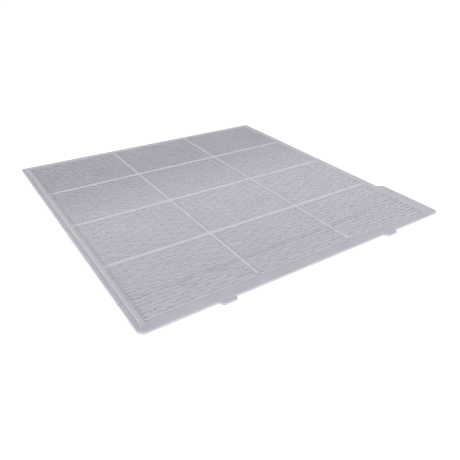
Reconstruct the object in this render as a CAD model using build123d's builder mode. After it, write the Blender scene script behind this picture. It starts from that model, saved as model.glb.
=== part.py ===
"""Plastic queen excluder for a square beehive: a thin moulded sheet of slotted panels
between rounded ribs, with a solid band and two tabs in front and a flange on one side.

Millimetres, +Z up. The sheet lies flat on the XY plane with its front edge towards -Y.
The origin is the middle of the whole outline, on the underside.
"""

import os

from build123d import *

# ---- Outline -------------------------------------------------------------------------
hive_side = 460.0  # outer side of the square hive body, flange and tabs included
flange_width = 10.0  # how far the side flange stands out beyond the right edge
flange_length = 104.0  # along the right edge, from the front edge to the flange's step
flange_step = 5.0  # the flange widens to its full width over this length
flange_step_r = 4.0  # rounded outer corner of that step
flange_corner_r = 8.0  # rounded front corner of the flange
tab_reach = 5.5  # how far the tabs stand out beyond the front edge
corner_cut = 5.0  # leg of the cut at the front left corner

left = -hive_side / 2
right = hive_side / 2 - flange_width
front = -hive_side / 2 + tab_reach
back = hive_side / 2
flange_right = right + flange_width
flange_back = front + flange_length

# ---- Slotted field: 3 columns by 4 rows of panels between the ribs -------------------
columns = 3
rows = 4
panel_width = 139.0
panel_depth = 102.5
panel_corner_r = 4.0
long_rib_width = 3.6  # ribs between the columns, running front to back
cross_rib_width = 5.5  # ribs between the rows, running left to right
left_band = 11.5  # from the left edge to the first panel
front_band = 14.5  # from the front edge to the first panel

column_pitch = panel_width + long_rib_width
row_pitch = panel_depth + cross_rib_width
field_left = left + left_band
field_right = field_left + columns * panel_width + (columns - 1) * long_rib_width
field_front = front + front_band
field_back = field_front + rows * panel_depth + (rows - 1) * cross_rib_width

# ---- Frame rib along the left, back and right sides of the field ---------------------
frame_rib_width = 6.0
frame_left = field_left - frame_rib_width
frame_right = field_right + frame_rib_width
frame_front = field_front - frame_rib_width  # the side ribs run out on the front band
run_out = 9.0  # length over which they slope down to it
run_out_step = 0.3  # what is left of their height at the end
frame_back = field_back + frame_rib_width

# ---- Levels above the underside ------------------------------------------------------
sheet_t = 2.2  # lip, front band and flange
grid_t = 3.5  # slotted panels
rib_h = 4.4
sheet_round = 0.5
rib_round = 1.1
tab_t = sheet_t - sheet_round  # the tabs end under the front band's rounded edge
tab_round = 0.4

# ---- Slots: wide enough for worker bees, too narrow for a queen ----------------------
slot_width = 4.2
slot_length = 25.0
slot_columns = 5
slot_rows = 16
slot_bar = 2.1  # bar between two rows of slots
slot_web = 2.5  # web between two slots of a row

slot_pitch = slot_length + slot_web
slot_row_pitch = slot_width + slot_bar
end_slot_length = (slot_length - slot_web) / 2  # fills the ends of a staggered row
end_slot_spacing = slot_columns * slot_pitch - slot_web - end_slot_length

# ---- Locating tabs on the front edge -------------------------------------------------
tab_base = 22.0
tab_left_slope = 4.8  # how much the tab narrows on its left side
tab_right_slope = 1.8  # and on its right side
tab_from_left_edge = 88.5
tab_spacing = 255.0
tab_tip_r = 1.2

os.makedirs("parts", exist_ok=True)


def finish(part, label):
    """Names a finished piece and writes it to its own file."""
    part.label = label
    export_step(part, f"parts/{label}.step")


def rectangle(x0, x1, y0, y1, mode=Mode.ADD):
    """Rectangle between two corners, in the sketch that is open."""
    with Locations(((x0 + x1) / 2, (y0 + y1) / 2)):
        Rectangle(x1 - x0, y1 - y0, mode=mode)


def panel_plane(row, column):
    """Plane at the middle of a panel's underside."""
    x = field_left + column * column_pitch + panel_width / 2
    y = field_front + row * row_pitch + panel_depth / 2
    return Plane((x, y, 0))


def outside_frame(edge):
    """True for an edge that lies wholly outside the frame rib."""
    middle = edge.center()
    gaps = (
        frame_left - middle.X,
        middle.X - frame_right,
        frame_front - middle.Y,
        middle.Y - frame_back,
    )
    return max(gaps) > 0.01


# ---- Lip, front band, flange and ribs, rounded over in one piece and then divided ----
with BuildPart() as moulding:
    with BuildSketch() as outline:
        Polygon(
            (left, front + corner_cut),
            (left + corner_cut, front),
            (flange_right, front),
            (flange_right, flange_back - flange_step),
            (right, flange_back),
            (right, back),
            (left, back),
            align=None,
        )
        flange_corners = outline.vertices().group_by(Axis.X)[-1].sort_by(Axis.Y)
        fillet(flange_corners[0], flange_corner_r)
        fillet(flange_corners[1], flange_step_r)
    extrude(amount=sheet_t)

    with BuildSketch():
        rectangle(frame_left, frame_right, frame_front, frame_back)
        rectangle(
            field_left, field_right, frame_front, field_front + panel_corner_r, Mode.SUBTRACT
        )
    extrude(amount=rib_h)

    for row in range(rows):
        for column in range(columns):
            with BuildSketch(panel_plane(row, column)):
                RectangleRounded(panel_width, panel_depth, panel_corner_r)
            extrude(amount=rib_h, mode=Mode.SUBTRACT)

    fillet(moulding.edges().filter_by_position(Axis.Z, rib_h, rib_h), rib_round)
    sheet_edges = moulding.edges().filter_by_position(Axis.Z, sheet_t, sheet_t)
    fillet(sheet_edges.filter_by(outside_frame), sheet_round)

    with BuildSketch(Plane.YZ.offset(frame_left)):
        Polygon(
            (frame_front, sheet_t + run_out_step),
            (frame_front + run_out, rib_h),
            (frame_front, rib_h),
            align=None,
        )
    extrude(amount=frame_right - frame_left, mode=Mode.SUBTRACT)


def divide(label, *areas):
    """Takes the stretch of the moulding over some rectangles as a piece of its own."""
    with BuildPart() as piece:
        add(moulding.part)
        with BuildSketch():
            for area in areas:
                rectangle(*area)
        extrude(amount=rib_h, mode=Mode.INTERSECT)
    finish(piece.part, label)


# The pieces meet where the ribs run straight, just past the panels' rounded corners.
inner_left = field_left + panel_corner_r
inner_right = field_right - panel_corner_r
inner_front = field_front + panel_corner_r
inner_back = field_back - panel_corner_r

divide("rim_front", (inner_left, inner_right, front, inner_front))
divide("rim_back", (inner_left, inner_right, inner_back, back))
divide("rim_left", (left, inner_left, front, back))
divide(
    "rim_right",
    (inner_right, frame_right, front, back),
    (frame_right, right, flange_back, back),
)
divide("side_flange", (frame_right, flange_right, front, flange_back))

# ---- Ribs between the panels ---------------------------------------------------------
for index, name in enumerate(("front", "middle", "back")):
    rib_front = field_front + (index + 1) * row_pitch - cross_rib_width
    divide(
        f"cross_rib_{name}",
        (
            inner_left,
            inner_right,
            rib_front - panel_corner_r,
            rib_front + cross_rib_width + panel_corner_r,
        ),
    )

for index, name in enumerate(("left", "right")):
    rib_left = field_left + (index + 1) * column_pitch - long_rib_width
    for row in range(rows):
        panel_front = field_front + row * row_pitch
        divide(
            f"long_rib_{name}_row{row + 1}",
            (
                rib_left,
                rib_left + long_rib_width,
                panel_front + panel_corner_r,
                panel_front + panel_depth - panel_corner_r,
            ),
        )

# ---- Slotted panels, with every second row of slots shifted by half a pitch ----------
with BuildSketch() as slots:
    with Locations((0, -slot_row_pitch / 2)):
        with GridLocations(slot_pitch, 2 * slot_row_pitch, slot_columns, slot_rows // 2):
            SlotOverall(slot_length, slot_width)
    with Locations((0, slot_row_pitch / 2)):
        with GridLocations(slot_pitch, 2 * slot_row_pitch, slot_columns - 1, slot_rows // 2):
            SlotOverall(slot_length, slot_width)
        with GridLocations(end_slot_spacing, 2 * slot_row_pitch, 2, slot_rows // 2):
            SlotOverall(end_slot_length, slot_width)

for row in range(rows):
    for column in range(columns):
        with BuildPart() as grid_panel:
            with BuildSketch(panel_plane(row, column)):
                RectangleRounded(panel_width, panel_depth, panel_corner_r)
                add(slots.sketch, mode=Mode.SUBTRACT)
            extrude(amount=grid_t)
        finish(grid_panel.part, f"grid_panel_row{row + 1}_col{column + 1}")

# ---- Locating tabs -------------------------------------------------------------------
for index, name in enumerate(("left", "right")):
    base_left = left + tab_from_left_edge + index * tab_spacing
    with BuildPart() as tab:
        with BuildSketch() as tab_plan:
            Polygon(
                (base_left, front),
                (base_left + tab_left_slope, front - tab_reach),
                (base_left + tab_base - tab_right_slope, front - tab_reach),
                (base_left + tab_base, front),
                align=None,
            )
            fillet(tab_plan.vertices().group_by(Axis.Y)[0], tab_tip_r)
        extrude(amount=tab_t)
        top_edges = tab.edges().filter_by_position(Axis.Z, tab_t, tab_t)
        fillet(top_edges.sort_by(Axis.Y)[:-1], tab_round)
    finish(tab.part, f"tab_{name}")
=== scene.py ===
"""Looks of the plastic queen excluder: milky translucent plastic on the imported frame,
on a plain pale floor in soft studio light. Metres, in the frame's own axes."""

import math

import bpy
from mathutils import Matrix, Vector


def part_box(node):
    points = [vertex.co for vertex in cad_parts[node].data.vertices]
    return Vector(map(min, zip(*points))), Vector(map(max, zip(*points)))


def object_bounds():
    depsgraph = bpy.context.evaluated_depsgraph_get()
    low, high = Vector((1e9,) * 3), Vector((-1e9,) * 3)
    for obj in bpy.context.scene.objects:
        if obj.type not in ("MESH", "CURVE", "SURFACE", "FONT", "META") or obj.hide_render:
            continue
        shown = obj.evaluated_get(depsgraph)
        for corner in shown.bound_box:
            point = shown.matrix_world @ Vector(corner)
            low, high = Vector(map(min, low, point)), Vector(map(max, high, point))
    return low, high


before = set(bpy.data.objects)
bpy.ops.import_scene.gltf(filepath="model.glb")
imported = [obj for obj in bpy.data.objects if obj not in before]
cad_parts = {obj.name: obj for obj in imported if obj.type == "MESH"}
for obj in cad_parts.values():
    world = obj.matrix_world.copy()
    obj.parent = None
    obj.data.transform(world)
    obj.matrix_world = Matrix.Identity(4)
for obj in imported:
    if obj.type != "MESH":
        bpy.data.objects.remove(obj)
cad_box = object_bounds()
lowest, highest = cad_box

# ---- Places on the part --------------------------------------------------------------
sheet_width = 0.450
tab_reach = 0.0055
front_edge = lowest.y + tab_reach
sheet_middle_x = lowest.x + sheet_width / 2
panel_low, panel_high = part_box("grid_panel_row1_col1")
grid_top = panel_high.z
rib_top = highest.z
panel_depth = panel_high.y - panel_low.y
painted_shade_start_y = -0.03  # painted shade darkens the plastic from here
back_row_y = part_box("grid_panel_row4_col1")[0].y + 0.5 * panel_depth  # to here
# a faint bluish, darker wavering line is tinted across the sheet here
bluish_line_y = panel_low.y + 0.37 * panel_depth


# ---- Camera: the photograph's viewing angle ------------------------------------------
def make_camera(azimuth, elevation, roll, distance, target, lens):
    """A camera looking at target from that direction; azimuth 0 looks along +Y."""
    azimuth, elevation = math.radians(azimuth), math.radians(elevation)
    back = Vector(
        (
            math.sin(azimuth) * math.cos(elevation),
            -math.cos(azimuth) * math.cos(elevation),
            math.sin(elevation),
        )
    )
    data = bpy.data.cameras.new("camera")
    data.sensor_width = 36
    data.lens = lens
    camera = bpy.data.objects.new("camera", data)
    bpy.context.scene.collection.objects.link(camera)
    turn = (-back).to_track_quat("-Z", "Y").to_matrix() @ Matrix.Rotation(
        math.radians(roll), 3, "Z"
    )
    camera.matrix_world = Matrix.Translation(target + back * distance) @ turn.to_4x4()
    bpy.context.scene.camera = camera


make_camera(
    azimuth=-34.677,
    elevation=30.727,
    roll=1.328,
    distance=1.355 * sheet_width,
    target=Vector((sheet_middle_x - 0.096 * sheet_width, front_edge + 0.2609 * sheet_width, 0)),
    lens=36.456,
)


# ---- Floor and light -----------------------------------------------------------------
floor_gap = 0.00005  # keeps the floor from meeting the part's underside


def make_floor():
    material = bpy.data.materials.new("floor")
    material.use_nodes = True
    shader = material.node_tree.nodes["Principled BSDF"]
    shader.inputs["Base Color"].default_value = (0.93, 0.93, 0.93, 1)
    shader.inputs["Roughness"].default_value = 0.9
    bpy.ops.mesh.primitive_plane_add(size=60, location=(0, 0, lowest.z - floor_gap))
    floor = bpy.context.object
    floor.name = "floor"
    floor.data.materials.append(material)


def make_world(horizon, zenith):
    """White light from all round, which goes from one strength at the horizon to another above."""
    world = bpy.data.worlds.new("world")
    world.use_nodes = True
    tree = world.node_tree
    direction = tree.nodes.new("ShaderNodeTexCoord").outputs["Generated"]
    split = tree.nodes.new("ShaderNodeSeparateXYZ")
    fade = tree.nodes.new("ShaderNodeMapRange")
    fade.inputs["To Min"].default_value = horizon
    fade.inputs["To Max"].default_value = zenith
    tree.links.new(direction, split.inputs[0])
    tree.links.new(split.outputs["Z"], fade.inputs["Value"])
    tree.links.new(fade.outputs["Result"], tree.nodes["Background"].inputs["Strength"])
    tree.nodes["Background"].inputs["Color"].default_value = (1, 1, 1, 1)
    bpy.context.scene.world = world


def make_key(azimuth, elevation, strength, spread):
    """A broad even lamp. Angles are in degrees, and from azimuth 0 it shines along +Y."""
    data = bpy.data.lights.new("key", "SUN")
    data.energy = strength
    data.angle = math.radians(spread)
    light = bpy.data.objects.new("key", data)
    bpy.context.scene.collection.objects.link(light)
    light.rotation_euler = (math.radians(90 - elevation), 0, math.radians(azimuth))


make_floor()
make_world(horizon=1.2, zenith=0.45)
make_key(azimuth=-34, elevation=33, strength=2.55, spread=25)
bpy.context.scene.view_settings.view_transform = "Standard"


# ---- Plastic -------------------------------------------------------------------------
class Plastic:
    """A node material that is built up from a few kinds of node."""

    def __init__(self, name):
        self.material = bpy.data.materials.new(name)
        self.material.use_nodes = True
        self.tree = self.material.node_tree
        self.shader = self.tree.nodes["Principled BSDF"]
        self.place = self.tree.nodes.new("ShaderNodeTexCoord").outputs["Object"]

    def plug(self, value, socket):
        """Links a socket, or sets a plain value."""
        if isinstance(value, bpy.types.NodeSocket):
            self.tree.links.new(value, socket)
        else:
            socket.default_value = value

    def math(self, operation, *values, clamp=False):
        """One arithmetic step."""
        node = self.tree.nodes.new("ShaderNodeMath")
        node.operation = operation
        node.use_clamp = clamp
        for value, socket in zip(values, node.inputs):
            self.plug(value, socket)
        return node.outputs[0]

    def stretched(self, scale):
        """Object coordinates, multiplied along each axis."""
        node = self.tree.nodes.new("ShaderNodeVectorMath")
        node.operation = "MULTIPLY"
        self.plug(self.place, node.inputs[0])
        node.inputs[1].default_value = scale
        return node.outputs[0]

    def noise(self, scale, detail=2.0):
        """Noise from 0 to 1, scale times a metre along each axis."""
        node = self.tree.nodes.new("ShaderNodeTexNoise")
        self.plug(self.stretched(scale), node.inputs["Vector"])
        node.inputs["Scale"].default_value = 1.0
        node.inputs["Detail"].default_value = detail
        return node.outputs["Fac"]

    def remap(self, value, from_low, from_high, to_low, to_high):
        """Takes a value smoothly from one range to another, and holds it at the ends."""
        node = self.tree.nodes.new("ShaderNodeMapRange")
        node.interpolation_type = "SMOOTHSTEP"
        for number, socket in zip((value, from_low, from_high, to_low, to_high), node.inputs):
            self.plug(number, socket)
        return node.outputs[0]

    def mix(self, factor, first, second, how="MIX"):
        """Blends two colours, or with how="MULTIPLY" tints the first by the second."""
        node = self.tree.nodes.new("ShaderNodeMix")
        node.data_type = "RGBA"
        node.blend_type = how
        colours = [s for s in node.inputs if s.type == "RGBA"]
        self.plug(factor, node.inputs[0])
        self.plug(first, colours[0])
        self.plug(second, colours[1])
        return [s for s in node.outputs if s.type == "RGBA"][0]

    def bump(self, height, distance, strength, below=None):
        """A bumped normal, over the one below if there is one."""
        node = self.tree.nodes.new("ShaderNodeBump")
        node.inputs["Strength"].default_value = strength
        node.inputs["Distance"].default_value = distance
        self.plug(height, node.inputs["Height"])
        if below is not None:
            self.plug(below, node.inputs["Normal"])
        return node.outputs[0]

    def upright(self):
        """0 on level faces, 1 on upright ones."""
        geometry = self.tree.nodes.new("ShaderNodeNewGeometry")
        split = self.tree.nodes.new("ShaderNodeSeparateXYZ")
        self.plug(geometry.outputs["Normal"], split.inputs[0])
        level = self.math("ABSOLUTE", split.outputs["Z"])
        return self.math("SUBTRACT", 1.0, level, clamp=True)

    def along(self, axis):
        """Place along X, Y or Z, in metres."""
        split = self.tree.nodes.new("ShaderNodeSeparateXYZ")
        self.plug(self.place, split.inputs[0])
        return split.outputs[axis]

    def line_across(self, y, half_width, waviness):
        """1 on a wavering line from side to side at y, fading to 0 beside it and in places."""
        wave = self.math("SUBTRACT", self.noise((9, 0, 0)), 0.5)
        middle = self.math("MULTIPLY_ADD", wave, waviness, y)
        gap = self.math("ABSOLUTE", self.math("SUBTRACT", self.along("Y"), middle))
        line = self.remap(gap, 0.0, half_width, 1.0, 0.0)
        return self.math("MULTIPLY", line, self.remap(self.noise((40, 0, 0)), 0.35, 0.6, 0.3, 1.0))


def scaled(colour, factor):
    """The colour times a factor, with alpha 1."""
    return tuple(channel * factor for channel in colour) + (1.0,)


bluish = (0.82, 0.89, 0.935, 1.0)  # tint of a faint wavering line across the sheet


def milky_plastic(name, colour, painted_side_light, painted_foot_light, rib_white_and_highlight, painted_back_shade):
    """Milky polypropylene: cloudy, with faint flow streaks along the slots and a satin grain.

    The last four values are factors on the colour, and they paint light and shade into it.
    The first two are painted light on upright faces, at panel height and at their foot. They
    stand in for light that would come through thin bars and lift the shade low in the slots;
    below 1 they paint shade. The third lightens level faces at the ribs' height: partly the
    whiter look of thicker plastic, partly a painted highlight on the rib tops. The fourth is
    painted shade that darkens the back row.
    """
    plastic = Plastic(name)
    cloud = plastic.noise((14, 14, 14), detail=4)
    streak = plastic.noise((12, 260, 90), detail=3)
    body = plastic.mix(
        plastic.remap(cloud, 0.35, 0.65, 0.0, 1.0), scaled(colour, 0.97), scaled(colour, 1.03)
    )
    body = plastic.mix(plastic.remap(streak, 0.5, 0.75, 0.0, 0.5), body, scaled(colour, 0.93))
    # faces at the ribs' height are painted lighter: partly whiter thick plastic, partly a painted
    # highlight on the rib tops
    body = plastic.mix(
        plastic.remap(plastic.along("Z"), grid_top, rib_top, 0.0, 1.0),
        body,
        scaled(colour, rib_white_and_highlight),
    )
    # painted light on upright faces, strongest at their foot where the slots lie in shade; below 1
    # it is painted shade
    painted_lit_sides = plastic.mix(
        plastic.remap(plastic.along("Z"), 0.0, grid_top, 0.0, 1.0),
        scaled(colour, painted_foot_light),
        scaled(colour, painted_side_light),
    )
    body = plastic.mix(plastic.remap(plastic.upright(), 0.2, 0.9, 0.0, 1.0), body, painted_lit_sides)
    # a faint bluish, darker wavering line across the sheet
    bluish_line = plastic.line_across(bluish_line_y, half_width=0.0024, waviness=0.02)
    body = plastic.mix(bluish_line, body, bluish, how="MULTIPLY")
    # painted shade: the colour darkens towards the back row
    painted_back_shade_mask = plastic.remap(plastic.along("Y"), painted_shade_start_y, back_row_y, 0.0, 1.0)
    body = plastic.mix(painted_back_shade_mask, body, scaled((1.0, 1.0, 1.0), painted_back_shade), how="MULTIPLY")
    plastic.plug(body, plastic.shader.inputs["Base Color"])

    grain = plastic.noise((1400, 1400, 1400), detail=2)
    plastic.plug(plastic.remap(grain, 0.3, 0.7, 0.42, 0.56), plastic.shader.inputs["Roughness"])
    waves = plastic.bump(plastic.noise((30, 45, 30)), distance=0.0006, strength=0.6)
    plastic.plug(
        plastic.bump(grain, distance=0.00003, strength=0.5, below=waves),
        plastic.shader.inputs["Normal"],
    )
    plastic.shader.inputs["Specular IOR Level"].default_value = 0.4
    plastic.shader.inputs["Subsurface Weight"].default_value = 1.0
    plastic.shader.inputs["Subsurface Radius"].default_value = (1.0, 1.0, 1.0)
    plastic.shader.inputs["Subsurface Scale"].default_value = 0.002
    return plastic.material


# the three materials are copies of one plastic that differ in painted light and shade; the rim's
# colour is painted about 7% lighter
milk = (0.405, 0.391, 0.434)
lit_rim_milk = (0.435, 0.42, 0.466)
grid_plastic = milky_plastic(
    "grid_plastic", milk, painted_side_light=1.1, painted_foot_light=1.42, rib_white_and_highlight=1.0, painted_back_shade=0.8
)
rib_plastic = milky_plastic(
    "rib_plastic", milk, painted_side_light=1.1, painted_foot_light=1.3, rib_white_and_highlight=1.25, painted_back_shade=0.9
)
rim_plastic = milky_plastic(
    "rim_plastic", lit_rim_milk, painted_side_light=0.95, painted_foot_light=1.0, rib_white_and_highlight=1.04, painted_back_shade=0.88
)

for name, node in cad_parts.items():
    if name.startswith("grid_panel"):
        material = grid_plastic
    elif "rib" in name:
        material = rib_plastic
    else:
        material = rim_plastic
    node.data.materials.clear()
    node.data.materials.append(material)
